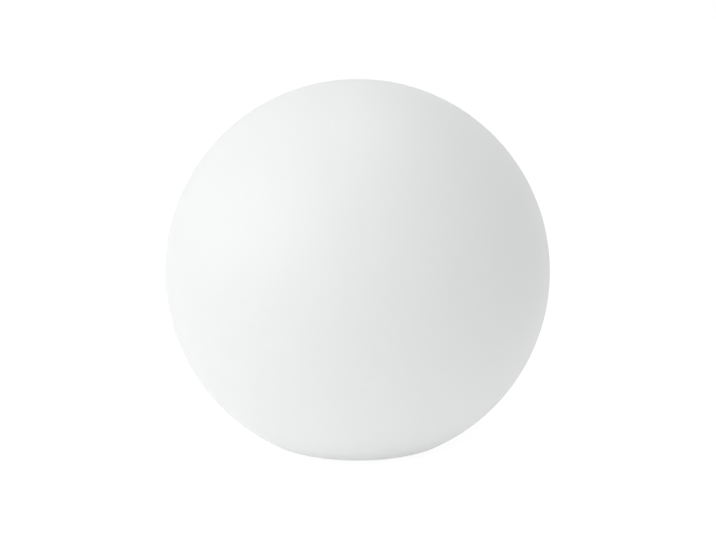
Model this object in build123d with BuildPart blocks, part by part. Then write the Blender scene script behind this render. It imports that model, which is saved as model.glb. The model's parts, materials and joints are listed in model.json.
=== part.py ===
from build123d import *

import os
from math import hypot, sqrt

# A ball light: a flat-based polyethylene globe that screws onto a rechargeable LED light unit.
# Millimetres, +Z up, origin on the ground under the middle of the ball.

# Globe
ball_diameter = 300.0
shell_wall = 3.0
inner_edge_radius = 4.0  # inside rounding where the sphere turns into the flat base
rim_land = 2.8  # flat ring of the base between that rounding and the recess
recess_corner = 1.2
boss_radius = 4.6  # moulded bosses that hold the threaded inserts
boss_cap = 1.7  # moulding left above the hole of an insert

# Threaded collar in the base of the globe
collar_wall = 2.5
collar_flange = 3.0
collar_ledge = 3.0
collar_tube_height = 15.4
collar_gasket_thickness = 1.5
collar_edge = 1.0  # flange left outside the screw heads
gusset_count = 12
gusset_height = 9.0
gusset_width = 1.8
seal_thickness = 1.6

# Collar screws and inserts
collar_screw_count = 6
collar_shank_radius = 1.95
collar_head_radius = 3.8
collar_screw_length = 12.0
insert_radius = 3.0
insert_length = 8.0
insert_groove = 0.4

# Battery pack, which sets the size of the light unit
cell_diameter = 18.4
cell_length = 65.2
cell_gap = 0.4
tab_thickness = 0.3
tab_width = 8.0
tab_tongue = 6.0
tray_wall = 1.4
tray_gap = 0.5  # radial play of the tray's corners in the neck
trough_depth = 8.0
tray_post_width = 12.0

# Light unit housing
foot_height = 2.0
foot_inset = 0.8
foot_width = 4.0
foot_margin = 0.8  # flange left on each side of the feet
foot_span = 34.0  # degrees
housing_wall = 2.5
flange_roof = 2.5
thread_gap = 1.5  # radial room for the threads between neck and collar
column_radius = 4.0
column_count = 4
column_start = 45.0  # degrees
shelf_length = 6.0
shelf_width = 2.4
shelf_pitch = 12.0
edge_break = 0.6

# Bottom cover
cover_thickness = 2.5
cover_lap = 3.5  # how far the cover reaches out past the neck
cover_gasket_thickness = 1.0
cover_boss_wall = 1.6
pocket_width = 9.0  # finger pockets for turning the unit
pocket_span = 36.0  # degrees, along the middle of the pocket
pocket_depth = 7.0
standoff_radius = 2.8
standoff_angles = (45, 225, 315)

# Small screws
screw_shank_radius = 1.45
screw_head_radius = 2.75
screw_head_height = 1.9
cover_screw_length = 10.0
plate_screw_length = 8.0
board_screw_length = 5.0
led_screw_length = 4.0
screw_point = 0.5
countersink_rim = 0.3
countersink_angle = 90  # degrees
drive_depth = 1.1

# Power button and its switch
button_radius = 7.3
button_recess = 0.6  # how far its face sits inside the cover
button_length = 6.8
button_lip = 1.2
button_lip_height = 1.2
button_travel = 0.8
guide_wall = 2.0
o_ring_radius = 0.75
switch_size = 12.0
switch_height = 2.6
switch_roof = 0.6  # closed end of the switch, soldered to the board
plunger_radius = 3.0

# Charging port
jack_barrel_radius = 5.0
jack_bore_radius = 3.15
jack_end_wall = 1.3
jack_pin_radius = 1.0
jack_pin_length = 3.3
jack_shoulder = 1.5
jack_gasket_thickness = 0.8
port_margin = 1.0  # flap beyond the jack's barrel
port_depth = 2.2
port_floor = 2.5
port_pitch = 12.0  # from the jack to the tether's anchor
port_notch = 3.0  # radius of the fingernail notch beside the flap
hinge_offset = 9.0  # from the jack to the flap's hinge line
flap_thickness = 1.8
stub_length = 2.8
stub_gap = 0.65  # room round the stub's root in the jack
stub_taper = 0.6
anchor_radius = 2.1
anchor_head_radius = 3.2
anchor_head_height = 1.5
anchor_taper = 20  # degrees

# Charge indicator
pipe_radius = 1.5
pipe_shoulder = 0.8
pipe_inset = 11.0  # from the main board's edge
indicator_size = (3.0, 1.5, 1.6)

# Boards and what they carry
board_thickness = 1.6
chip_size = (10.0, 6.2, 1.7)
chip_place = (-11.0, 2.0)
coil_size = (8.0, 8.0, 2.6)
coil_place = (10.0, -3.0)
socket_size = (12.0, 5.0, 5.0)
socket_inset = 5.5  # from the main board's edge to the middle of a socket
lead_radius = 0.8
lead_pitch = 3.2
lead_rise = 0.1  # play between a lead and the tongue that it lies on
lead_headroom = 1.3
bend_share = 0.45  # part of a lead's shorter run that its bend takes up
ribbon_radius = 0.6
ribbon_gap = 0.4
ribbon_count = 5
ribbon_bow = 2.5

# LED deck and dome
plate_thickness = 1.5
led_board_gap = 2.2  # from the LED board to the heads of the plate's screws
led_count = 12
led_inset = 7.0  # from the LED board's edge to the ring of LEDs
led_size = 5.0
led_height = 1.6
led_window_radius = 1.9
led_window_depth = 0.8
led_screw_count = 3
led_screw_inset = 17.0
receiver_size = (6.0, 4.0, 6.5)
receiver_lens_radius = 2.4
dome_wall = 2.0
dome_rise = 23.0
dome_rim = 2.0
dome_spigot = 3.0
dome_seal_thickness = 1.0
dome_headroom = 1.6  # from the heads of the plate's screws to the dome
snap_bead = 0.4

# Clearances
drop_in_gap = 0.4  # where one part drops into another
close_gap = 0.2  # where one part is guided by another
shaft_gap = 0.05  # round screws and pins
ring_gap = 0.02  # round a fitted O-ring
seat_gap = 0.3  # loose parts against their stops

# Radii, from the battery pack outwards
cell_radius = cell_diameter / 2
cell_offset = (cell_diameter + cell_gap) / 2
pack_half_width = cell_offset + cell_radius
trough_half_length = cell_length / 2 + tab_thickness + seat_gap
tray_half_length = trough_half_length + tray_wall
tray_half_width = pack_half_width + tray_wall
neck_inner = hypot(trough_half_length, pack_half_width) + tray_wall + tray_gap
neck_radius = neck_inner + housing_wall
cover_radius = neck_radius + cover_lap
cover_recess = cover_radius + drop_in_gap
flange_radius = cover_recess + foot_width + 2 * foot_margin
foot_circle = (cover_recess + flange_radius) / 2
column_circle = neck_inner - column_radius
inner_reach = column_circle - column_radius  # clear radius inside the columns
board_radius = inner_reach - port_margin
standoff_circle = board_radius - standoff_radius - seat_gap
socket_offset = board_radius - socket_inset
pipe_offset = board_radius - pipe_inset
led_board_radius = column_circle - screw_head_radius - led_board_gap
led_circle = led_board_radius - led_inset
led_screw_circle = led_board_radius - led_screw_inset
collar_bore = neck_radius + thread_gap
collar_tube = collar_bore + collar_wall
counterbore = flange_radius + drop_in_gap
collar_step = counterbore + collar_wall
mouth_radius = collar_step + drop_in_gap
bolt_circle = mouth_radius + boss_radius + close_gap
collar_radius = bolt_circle + collar_head_radius + collar_edge
recess_radius = collar_radius + drop_in_gap
flat_radius = recess_radius + shell_wall + rim_land

# Heights, from the ground up
base_z = foot_height
cover_top = base_z + cover_thickness
cover_seat = cover_top + cover_gasket_thickness
flange_top = cover_seat + flange_roof
ledge_z = flange_top + seal_thickness
ledge_top = ledge_z + collar_ledge
collar_top = ledge_top + collar_tube_height
recess_z = base_z + collar_flange + collar_gasket_thickness
insert_room = max(insert_length, collar_screw_length - collar_flange - collar_gasket_thickness) + seat_gap
button_z = base_z + button_recess
button_top = button_z + button_length
guide_top = button_top - button_lip_height
switch_z = button_top + button_travel + close_gap
board_z = switch_z + switch_height
board_top = board_z + board_thickness
tray_z = board_top + max(chip_size[2], coil_size[2], screw_head_height) + drop_in_gap
cell_z = tray_z + tray_wall + cell_radius
pack_top = cell_z + cell_radius
tongue_z = pack_top + seat_gap
lead_z = tongue_z + tab_thickness + lead_rise + lead_radius
plate_z = lead_z + lead_radius + lead_headroom
plate_top = plate_z + plate_thickness
led_board_top = plate_top + board_thickness
dome_seat = plate_top + screw_head_height + dome_headroom + dome_spigot - dome_seal_thickness
dome_rim_z = dome_seat + dome_seal_thickness
dome_spring_z = dome_rim_z + dome_rim
dome_radius = (neck_radius**2 + dome_rise**2) / (2 * dome_rise)
dome_centre = dome_spring_z + dome_rise - dome_radius
dome_inner = sqrt((dome_radius - dome_wall) ** 2 - (dome_spring_z - dome_centre) ** 2)
ball_radius = ball_diameter / 2
edge_radius = inner_edge_radius + shell_wall
edge_z = base_z + edge_radius
ball_z = edge_z + sqrt((ball_radius - edge_radius) ** 2 - flat_radius**2)

# Charging port, laid out along X at a fixed distance from the button
port_radius = jack_barrel_radius + port_margin
port_boss_radius = port_radius + cover_boss_wall
port_y = sqrt((inner_reach - port_margin - port_boss_radius) ** 2 - port_pitch**2)
port_roof = base_z + port_depth
port_boss_top = port_roof + port_floor
port_middle = -port_pitch / 2
flap_z = port_roof - close_gap - flap_thickness
hinge_x = -hinge_offset
jack_seat = port_boss_top + jack_gasket_thickness
jack_bore_depth = board_z - port_roof - jack_end_wall
stub_root_radius = jack_bore_radius - stub_gap

os.makedirs("parts", exist_ok=True)


def finish(part, label):
    """Label a finished piece and write its file."""
    part.label = label
    export_step(part, f"parts/{label}.step")


def shell_line(inset):
    """Half section of the globe at a depth below its outer face, from the top to the mouth."""
    middle = Vector(0, ball_z)
    edge_centre = Vector(flat_radius, edge_z)
    top = middle + Vector(0, ball_radius - inset)
    outward = (edge_centre - middle).normalized()
    turn = middle + outward * (ball_radius - inset)
    shoulder = middle + Vector(ball_radius - inset, 0)
    knee = edge_centre + (outward + Vector(0, -1)).normalized() * (edge_radius - inset)
    flat_z = base_z + inset
    ThreePointArc(top, shoulder, turn)
    ThreePointArc(turn, knee, (flat_radius, flat_z))
    FilletPolyline(
        (flat_radius, flat_z),
        (recess_radius + inset, flat_z),
        (recess_radius + inset, recess_z + inset),
        (mouth_radius, recess_z + inset),
        radius=recess_corner,
    )


def dome_arc(radius, rim_radius):
    """Arc of the lens dome's half section, from its rim up to the axis."""
    middle = Vector(0, dome_centre)
    rim = Vector(rim_radius, dome_spring_z)
    halfway = ((rim - middle).normalized() + Vector(0, 1)).normalized()
    ThreePointArc(rim, middle + halfway * radius, middle + Vector(0, radius))


def drive_recess(head_radius):
    """Cross-shaped outline of a screwdriver recess."""
    Rectangle(head_radius, head_radius / 4)
    Rectangle(head_radius / 4, head_radius)


def countersunk_screw(shank_radius, length, head_radius):
    """Countersunk screw: the head's outer face at z = 0, the shank along +Z."""
    cone_end = countersink_rim + head_radius - shank_radius
    with BuildPart() as screw:
        with BuildSketch(Plane.XZ):
            with BuildLine():
                Polyline(
                    (0, 0),
                    (head_radius, 0),
                    (head_radius, countersink_rim),
                    (shank_radius, cone_end),
                    (shank_radius, length - screw_point),
                    (shank_radius - screw_point, length),
                    (0, length),
                    close=True,
                )
            make_face()
        revolve(axis=Axis.Z)
        with BuildSketch():
            drive_recess(head_radius)
        extrude(amount=drive_depth, mode=Mode.SUBTRACT)
    return screw.part


def pan_screw(length):
    """Pan-head screw: the seat of the head at z = 0, the shank along -Z."""
    with BuildPart() as screw:
        with BuildSketch(Plane.XZ):
            with BuildLine():
                Polyline(
                    (0, screw_head_height),
                    (screw_head_radius - screw_point, screw_head_height),
                    (screw_head_radius, screw_head_height - screw_point),
                    (screw_head_radius, 0),
                    (screw_shank_radius, 0),
                    (screw_shank_radius, screw_point - length),
                    (screw_shank_radius - screw_point, -length),
                    (0, -length),
                    close=True,
                )
            make_face()
        revolve(axis=Axis.Z)
        with BuildSketch(Plane.XY.offset(screw_head_height)):
            drive_recess(screw_head_radius)
        extrude(amount=-drive_depth, mode=Mode.SUBTRACT)
    return screw.part


def countersink(shank_radius, head_radius):
    """Cut countersunk clearance holes at the current locations, seen from below."""
    CounterSinkHole(
        radius=shank_radius + close_gap,
        counter_sink_radius=head_radius + countersink_rim + close_gap,
        counter_sink_angle=countersink_angle,
    )


collar_screw = countersunk_screw(collar_shank_radius, collar_screw_length, collar_head_radius)
cover_screw = countersunk_screw(screw_shank_radius, cover_screw_length, screw_head_radius)
plate_screw = pan_screw(plate_screw_length)
board_screw = pan_screw(board_screw_length)
led_screw = pan_screw(led_screw_length)
underside = Plane((0, 0, base_z), x_dir=(1, 0, 0), z_dir=(0, 0, -1))
standoff_points = [Vector(standoff_circle, 0).rotate(Axis.Z, angle) for angle in standoff_angles]
screw_hole = screw_shank_radius + shaft_gap

# Globe shell: one thin moulding, open at the recessed mouth in its base
with BuildPart() as ball_shell:
    with BuildSketch(Plane.XZ):
        with BuildLine():
            shell_line(0)
            Line((mouth_radius, recess_z), (mouth_radius, recess_z + shell_wall))
            shell_line(shell_wall)
            Line((0, ball_z + ball_radius - shell_wall), (0, ball_z + ball_radius))
        make_face()
    revolve(axis=Axis.Z)
    with BuildSketch(Plane.XY.offset(recess_z)):
        with PolarLocations(bolt_circle, collar_screw_count):
            Circle(boss_radius)
    extrude(amount=insert_room + boss_cap)
    with BuildSketch(Plane.XY.offset(recess_z)):
        with PolarLocations(bolt_circle, collar_screw_count):
            Circle(insert_radius + shaft_gap)
    extrude(amount=insert_room, mode=Mode.SUBTRACT)
finish(ball_shell.part, "ball_shell")

# Threaded collar: bolt flange, stepped wall round the light unit's flange, and threaded tube
with BuildPart() as thread_collar:
    with BuildSketch(Plane.XZ):
        with BuildLine():
            Polyline(
                (counterbore, base_z),
                (collar_radius, base_z),
                (collar_radius, base_z + collar_flange),
                (collar_step, base_z + collar_flange),
                (collar_step, ledge_top),
                (collar_tube, ledge_top),
                (collar_tube, collar_top),
                (collar_bore, collar_top),
                (collar_bore, ledge_z),
                (counterbore, ledge_z),
                close=True,
            )
        make_face()
    revolve(axis=Axis.Z)
    with BuildSketch(Plane.XZ):
        with BuildLine():
            Polyline(
                (collar_bore + collar_wall / 2, ledge_top),
                (collar_step, ledge_top),
                (collar_tube, ledge_top + gusset_height),
                (collar_bore + collar_wall / 2, ledge_top + gusset_height),
                close=True,
            )
        make_face()
    gusset = extrude(amount=gusset_width / 2, both=True, mode=Mode.PRIVATE)
    with PolarLocations(0, gusset_count):
        add(gusset)
    top_edges = thread_collar.edges().group_by(Axis.Z)[-1]
    fillet(top_edges, edge_break)
    with Locations(underside):
        with PolarLocations(bolt_circle, collar_screw_count):
            countersink(collar_shank_radius, collar_head_radius)
finish(thread_collar.part, "thread_collar")

# Flat gasket between the collar and the recess of the shell
with BuildPart() as collar_gasket:
    with BuildSketch(Plane.XY.offset(base_z + collar_flange)):
        Circle(collar_radius - recess_corner)
        Circle(mouth_radius, mode=Mode.SUBTRACT)
        with PolarLocations(bolt_circle, collar_screw_count):
            Circle(insert_radius, mode=Mode.SUBTRACT)
    extrude(amount=collar_gasket_thickness)
finish(collar_gasket.part, "collar_gasket")

# Threaded inserts, grooved to grip the moulded bosses
insert_bore = collar_shank_radius + shaft_gap
with BuildPart() as insert:
    with BuildSketch(Plane.XZ):
        with BuildLine():
            Polyline(
                (insert_bore, 0),
                (insert_radius, 0),
                (insert_radius, insert_length / 3),
                (insert_radius - insert_groove, insert_length / 3),
                (insert_radius - insert_groove, insert_length / 2),
                (insert_radius, insert_length / 2),
                (insert_radius, insert_length),
                (insert_bore, insert_length),
                close=True,
            )
        make_face()
    revolve(axis=Axis.Z)
with BuildPart(Plane.XY.offset(recess_z)) as collar_inserts:
    with PolarLocations(bolt_circle, collar_screw_count):
        add(insert.part)
finish(collar_inserts.part, "collar_inserts")

with BuildPart(Plane.XY.offset(base_z)) as collar_screws:
    with PolarLocations(bolt_circle, collar_screw_count):
        add(collar_screw)
finish(collar_screws.part, "collar_screws")

# Sealing ring that the collar's ledge presses on the light unit's flange
with BuildPart() as globe_seal:
    with BuildSketch(Plane.XY.offset(flange_top)):
        Circle(flange_radius - edge_break)
        Circle(collar_bore, mode=Mode.SUBTRACT)
    extrude(amount=seal_thickness)
finish(globe_seal.part, "globe_seal")

# Light unit housing: flange, threaded neck, inner columns and the shelves of the battery tray
groove_z = dome_rim_z - dome_spigot
with BuildPart() as base_housing:
    with BuildSketch(Plane.XZ):
        with BuildLine():
            Polyline(
                (neck_inner, cover_seat),
                (cover_recess, cover_seat),
                (cover_recess, base_z),
                (flange_radius, base_z),
                (flange_radius, flange_top),
                (neck_radius, flange_top),
                (neck_radius, dome_seat),
                (neck_inner, dome_seat),
                (neck_inner, groove_z + 2 * snap_bead + close_gap),
                (neck_inner + snap_bead, groove_z + 2 * snap_bead + close_gap),
                (neck_inner + snap_bead, groove_z - close_gap),
                (neck_inner, groove_z - close_gap),
                close=True,
            )
        make_face()
    revolve(axis=Axis.Z)
    rim_edges = base_housing.edges().filter_by(GeomType.CIRCLE).group_by(SortBy.RADIUS)[-1]
    fillet(rim_edges, edge_break)
    with BuildSketch(Plane.XY.offset(cover_seat)):
        with PolarLocations(column_circle, column_count, start_angle=column_start):
            Circle(column_radius)
            with Locations((column_radius, 0)):
                Rectangle(2 * column_radius, 2 * column_radius)
        Circle(neck_inner + housing_wall / 2, mode=Mode.INTERSECT)
    extrude(amount=plate_z - cover_seat)
    with BuildSketch(Plane.XY.offset(cover_seat)):
        with PolarLocations(neck_inner - shelf_length / 2, 2):
            with GridLocations(0, shelf_pitch, 1, 2):
                Rectangle(2 * shelf_length, shelf_width)
        Circle(neck_inner + housing_wall / 2, mode=Mode.INTERSECT)
        Circle(inner_reach, mode=Mode.SUBTRACT)
    extrude(amount=tray_z - cover_seat)
    with BuildSketch(Plane.XY.offset(cover_seat)):
        with PolarLocations(column_circle, column_count, start_angle=column_start):
            Circle(screw_hole)
    extrude(amount=cover_screw_length, mode=Mode.SUBTRACT)
    with BuildSketch(Plane.XY.offset(plate_z)):
        with PolarLocations(column_circle, column_count, start_angle=column_start):
            Circle(screw_hole)
    extrude(amount=-plate_screw_length, mode=Mode.SUBTRACT)
    foot_arc = CenterArc((0, 0), foot_circle, -foot_span / 2, foot_span, mode=Mode.PRIVATE)
    with BuildSketch(Plane.XY.offset(base_z)):
        with PolarLocations(0, column_count, start_angle=column_start):
            SlotArc(foot_arc, foot_width)
    extrude(amount=foot_inset, mode=Mode.SUBTRACT)
finish(base_housing.part, "base_housing")

# Rubber feet, bonded into shallow pockets of the flange
with BuildPart() as foot_pads:
    with BuildSketch():
        with PolarLocations(0, column_count, start_angle=column_start):
            SlotArc(foot_arc, foot_width - 2 * shaft_gap)
    extrude(amount=base_z + foot_inset)
    fillet(foot_pads.edges().group_by(Axis.Z)[0], foot_inset / 2)
finish(foot_pads.part, "foot_pads")

# Bottom cover: finger pockets, button guide, charging port, standoffs and light pipe hole
pocket_circle = inner_reach - port_margin - cover_boss_wall - pocket_width / 2
pocket_arc = CenterArc((0, 0), pocket_circle, -pocket_span / 2, pocket_span, mode=Mode.PRIVATE)
pocket_roof = base_z + pocket_depth
guide_bore = button_radius + close_gap
with BuildPart() as bottom_cover:
    with BuildSketch(Plane.XY.offset(base_z)):
        Circle(cover_radius)
    extrude(amount=cover_thickness)
    chamfer(bottom_cover.edges().group_by(Axis.Z)[0], edge_break)
    with BuildSketch(Plane.XY.offset(cover_top)):
        with PolarLocations(0, 2):
            SlotArc(pocket_arc, pocket_width + 2 * cover_boss_wall)
    extrude(amount=pocket_roof + cover_boss_wall - cover_top)
    with BuildSketch(Plane.XY.offset(cover_top)):
        Circle(guide_bore + guide_wall)
    extrude(amount=guide_top - cover_top)
    with BuildSketch(Plane.XY.offset(cover_top)):
        with Locations((port_middle, port_y)):
            SlotCenterToCenter(port_pitch, 2 * port_boss_radius)
    extrude(amount=port_boss_top - cover_top)
    with BuildSketch(Plane.XY.offset(cover_top)):
        with Locations(*standoff_points):
            Circle(standoff_radius)
    extrude(amount=board_z - cover_top)
    with BuildSketch(Plane.XY.offset(base_z)):
        with PolarLocations(0, 2):
            SlotArc(pocket_arc, pocket_width)
    extrude(amount=pocket_depth, mode=Mode.SUBTRACT)
    with BuildSketch(Plane.XY.offset(base_z)):
        with Locations((port_middle, port_y)):
            SlotCenterToCenter(port_pitch, 2 * port_radius)
        with Locations((port_radius, port_y)):
            Circle(port_notch)
    extrude(amount=port_depth, mode=Mode.SUBTRACT)
    with BuildSketch(Plane.XY.offset(base_z)):
        Circle(guide_bore)
        with Locations((0, -pipe_offset)):
            Circle(pipe_radius + shaft_gap)
        with Locations((0, port_y)):
            Circle(jack_barrel_radius + shaft_gap)
        with Locations((-port_pitch, port_y)):
            Circle(anchor_radius + shaft_gap)
    extrude(amount=board_z - base_z, mode=Mode.SUBTRACT)
    with BuildSketch(Plane.XY.offset(board_z)):
        with Locations(*standoff_points):
            Circle(screw_hole)
    extrude(amount=-board_screw_length, mode=Mode.SUBTRACT)
    with Locations(underside):
        with PolarLocations(column_circle, column_count, start_angle=column_start):
            countersink(screw_shank_radius, screw_head_radius)
finish(bottom_cover.part, "bottom_cover")

with BuildPart() as cover_gasket:
    with BuildSketch(Plane.XY.offset(cover_top)):
        Circle(cover_radius)
        Circle(inner_reach, mode=Mode.SUBTRACT)
        with PolarLocations(column_circle, column_count, start_angle=column_start):
            Circle(screw_shank_radius + close_gap, mode=Mode.SUBTRACT)
    extrude(amount=cover_gasket_thickness)
finish(cover_gasket.part, "cover_gasket")

with BuildPart(Plane.XY.offset(base_z)) as cover_screws:
    with PolarLocations(column_circle, column_count, start_angle=column_start):
        add(cover_screw)
finish(cover_screws.part, "cover_screws")

# Power button: a captive cap with an O-ring, pushed up against the switch
ring_z = (base_z + guide_top) / 2
groove_radius = guide_bore - 2 * o_ring_radius - ring_gap
with BuildPart() as power_button:
    with BuildSketch(Plane.XZ):
        with BuildLine():
            Polyline(
                (0, button_z),
                (button_radius, button_z),
                (button_radius, ring_z - o_ring_radius - shaft_gap),
                (groove_radius, ring_z - o_ring_radius - shaft_gap),
                (groove_radius, ring_z + o_ring_radius + shaft_gap),
                (button_radius, ring_z + o_ring_radius + shaft_gap),
                (button_radius, guide_top),
                (button_radius + button_lip, guide_top),
                (button_radius + button_lip, button_top),
                (0, button_top),
                close=True,
            )
        make_face()
    revolve(axis=Axis.Z)
    fillet(power_button.edges().group_by(Axis.Z)[0], edge_break)
finish(power_button.part, "power_button")

with BuildPart() as button_ring:
    with BuildSketch(Plane.XZ):
        with Locations((guide_bore - ring_gap - o_ring_radius, ring_z)):
            Circle(o_ring_radius - ring_gap)
    revolve(axis=Axis.Z)
finish(button_ring.part, "button_ring")

switch_ceiling = board_z - switch_roof
with BuildPart() as tact_switch:
    with BuildSketch(Plane.XY.offset(switch_z)):
        RectangleRounded(switch_size, switch_size, edge_break)
    extrude(amount=switch_height)
    with BuildSketch(Plane.XY.offset(switch_z)):
        Circle(plunger_radius + close_gap)
    extrude(amount=switch_ceiling - switch_z, mode=Mode.SUBTRACT)
finish(tact_switch.part, "tact_switch")

with BuildPart() as switch_plunger:
    with BuildSketch(Plane.XY.offset(button_top)):
        Circle(plunger_radius)
    extrude(amount=switch_ceiling - close_gap - button_travel - button_top)
finish(switch_plunger.part, "switch_plunger")

# Charging jack: barrel through the cover, sealed shoulder and centre pin
with BuildPart(Plane((0, port_y, 0))) as charge_jack:
    with BuildSketch(Plane((0, port_y, port_roof))):
        Circle(jack_barrel_radius)
    extrude(amount=board_z - port_roof)
    with BuildSketch(Plane((0, port_y, jack_seat))):
        Circle(jack_barrel_radius + jack_shoulder)
    extrude(amount=jack_shoulder)
    with BuildSketch(Plane((0, port_y, port_roof))):
        Circle(jack_bore_radius)
    extrude(amount=jack_bore_depth, mode=Mode.SUBTRACT)
    with BuildSketch(Plane((0, port_y, port_roof + jack_bore_depth))):
        Circle(jack_pin_radius)
    extrude(amount=-jack_pin_length)
finish(charge_jack.part, "charge_jack")

with BuildPart() as jack_gasket:
    with BuildSketch(Plane((0, port_y, port_boss_top))):
        Circle(jack_barrel_radius + jack_shoulder)
        Circle(jack_barrel_radius + shaft_gap, mode=Mode.SUBTRACT)
    extrude(amount=jack_gasket_thickness)
finish(jack_gasket.part, "jack_gasket")

# Silicone flap over the jack: the swinging half with its stub, and the anchored half
flap_radius = port_radius - seat_gap
with BuildPart() as charge_flap:
    with BuildSketch(Plane((0, port_y, flap_z))):
        with Locations((port_middle, 0)):
            SlotCenterToCenter(port_pitch, 2 * flap_radius)
        with Locations((hinge_x + seat_gap / 2, 0)):
            Rectangle(port_pitch * 2, port_pitch * 2, align=(Align.MIN, Align.CENTER), mode=Mode.INTERSECT)
    extrude(amount=flap_thickness)
    stub = Plane((0, port_y, flap_z + flap_thickness))
    with BuildSketch(stub):
        Circle(stub_root_radius)
    with BuildSketch(stub.offset(stub_length)):
        Circle(stub_root_radius - stub_taper)
    loft()
finish(charge_flap.part, "charge_flap")

with BuildPart() as flap_tether:
    with BuildSketch(Plane((0, port_y, flap_z))):
        with Locations((port_middle, 0)):
            SlotCenterToCenter(port_pitch, 2 * flap_radius)
        with Locations((hinge_x - seat_gap / 2, 0)):
            Rectangle(port_pitch * 2, port_pitch * 2, align=(Align.MAX, Align.CENTER), mode=Mode.INTERSECT)
    extrude(amount=port_roof - flap_z)
    with BuildSketch(Plane((-port_pitch, port_y, port_roof))):
        Circle(anchor_radius)
    extrude(amount=port_floor)
    with BuildSketch(Plane((-port_pitch, port_y, port_boss_top))):
        Circle(anchor_head_radius)
    extrude(amount=anchor_head_height, taper=anchor_taper)
finish(flap_tether.part, "flap_tether")

# Clear rod that carries the charge indicator's light to the cover
with BuildPart() as light_pipe:
    with BuildSketch(Plane((0, -pipe_offset, base_z + seat_gap))):
        Circle(pipe_radius)
    extrude(amount=board_z - indicator_size[2] - base_z - seat_gap)
    with BuildSketch(Plane((0, -pipe_offset, cover_top))):
        Circle(pipe_radius + pipe_shoulder)
    extrude(amount=pipe_shoulder)
finish(light_pipe.part, "light_pipe")

# Main board, screwed to the cover, with its chip, coil and sockets
socket_points = [(0, socket_offset), (0, -socket_offset)]
with BuildPart() as main_board:
    with BuildSketch(Plane.XY.offset(board_z)):
        Circle(board_radius)
        with Locations(*standoff_points):
            Circle(screw_shank_radius + close_gap, mode=Mode.SUBTRACT)
    extrude(amount=board_thickness)
finish(main_board.part, "main_board")

with BuildPart(Plane.XY.offset(board_top)) as board_screws:
    with Locations(*standoff_points):
        add(board_screw)
finish(board_screws.part, "board_screws")

with BuildPart() as indicator_led:
    with BuildSketch(Plane((0, -pipe_offset, board_z))):
        Rectangle(indicator_size[0], indicator_size[1])
    extrude(amount=-indicator_size[2])
finish(indicator_led.part, "indicator_led")

with BuildPart() as controller_chip:
    with BuildSketch(Plane((*chip_place, board_top))):
        Rectangle(chip_size[0], chip_size[1])
    extrude(amount=chip_size[2])
    chamfer(controller_chip.edges().group_by(Axis.Z)[-1], edge_break / 2)
finish(controller_chip.part, "controller_chip")

with BuildPart() as power_coil:
    with BuildSketch(Plane((*coil_place, board_top))):
        RectangleRounded(coil_size[0], coil_size[1], edge_break)
    extrude(amount=coil_size[2])
finish(power_coil.part, "power_coil")

with BuildPart() as wire_sockets:
    with BuildSketch(Plane.XY.offset(board_top)):
        with Locations(*socket_points):
            Rectangle(socket_size[0], socket_size[1])
    extrude(amount=socket_size[2])
    with BuildSketch(Plane.XY.offset(plate_top)):
        with Locations((0, socket_offset)):
            Rectangle(socket_size[0], socket_size[1])
    extrude(amount=-socket_size[2])
finish(wire_sockets.part, "wire_sockets")

# Battery: tray with two troughs, cells, welded tabs and leads
with BuildPart() as battery_tray:
    with BuildSketch(Plane.XY.offset(tray_z)):
        Rectangle(2 * tray_half_length, 2 * tray_half_width)
        Circle(neck_inner - tray_gap, mode=Mode.INTERSECT)
        with PolarLocations(column_circle, column_count, start_angle=column_start):
            Circle(column_radius + drop_in_gap, mode=Mode.SUBTRACT)
    extrude(amount=tray_wall + trough_depth)
    with BuildSketch(Plane.YZ):
        with Locations((cell_offset, cell_z), (-cell_offset, cell_z)):
            Circle(cell_radius + shaft_gap)
    extrude(amount=trough_half_length, both=True, mode=Mode.SUBTRACT)
    with BuildSketch(Plane.XY.offset(cell_z - tab_width / 2 - seat_gap)):
        with GridLocations(trough_half_length + cell_length / 2, 0, 2, 1):
            Rectangle(trough_half_length - cell_length / 2, 2 * cell_offset + tab_width + 2 * seat_gap)
    extrude(amount=tab_width + seat_gap, mode=Mode.SUBTRACT)
    with BuildSketch(Plane.XY.offset(tray_z)):
        with GridLocations(trough_half_length + tray_half_length, 0, 2, 1):
            Rectangle(tray_wall, tray_post_width)
    extrude(amount=plate_z - seat_gap - tray_z)
finish(battery_tray.part, "battery_tray")

with BuildPart() as battery_cells:
    with BuildSketch(Plane.YZ):
        with Locations((cell_offset, cell_z), (-cell_offset, cell_z)):
            Circle(cell_radius)
    extrude(amount=cell_length / 2, both=True)
    fillet(battery_cells.edges().filter_by(GeomType.CIRCLE), edge_break)
finish(battery_cells.part, "battery_cells")

with BuildPart() as battery_tabs:
    with BuildSketch(Plane.YZ.offset(cell_length / 2)):
        with Locations((0, cell_z)):
            Rectangle(2 * cell_offset + tab_width, tab_width)
        with Locations((-cell_offset, cell_z)):
            Rectangle(tab_width, tongue_z + tab_thickness - cell_z, align=(Align.CENTER, Align.MIN))
    extrude(amount=tab_thickness)
    with BuildSketch(Plane.XY.offset(tongue_z)):
        with Locations((cell_length / 2 + tab_thickness, -cell_offset)):
            Rectangle(tab_tongue, tab_width, align=(Align.MAX, Align.CENTER))
    extrude(amount=tab_thickness)
    mirror(about=Plane.YZ)
finish(battery_tabs.part, "battery_tabs")

lead_start = (cell_length / 2 - tab_tongue / 2, -cell_offset, lead_z)
lead_corner = (lead_pitch / 2, -socket_offset, lead_z)
lead_end = (lead_pitch / 2, -socket_offset, board_top + socket_size[2])
lead_bend = bend_share * (lead_z - lead_end[2])
with BuildPart() as lead_positive:
    with BuildLine() as lead_path:
        FilletPolyline(lead_start, lead_corner, lead_end, radius=lead_bend)
    with BuildSketch(Plane(lead_path.line @ 0, z_dir=lead_path.line % 0)):
        Circle(lead_radius)
    sweep()
finish(lead_positive.part, "lead_positive")

with BuildPart() as lead_negative:
    add(lead_positive.part.mirror(Plane.YZ))
finish(lead_negative.part, "lead_negative")

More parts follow.
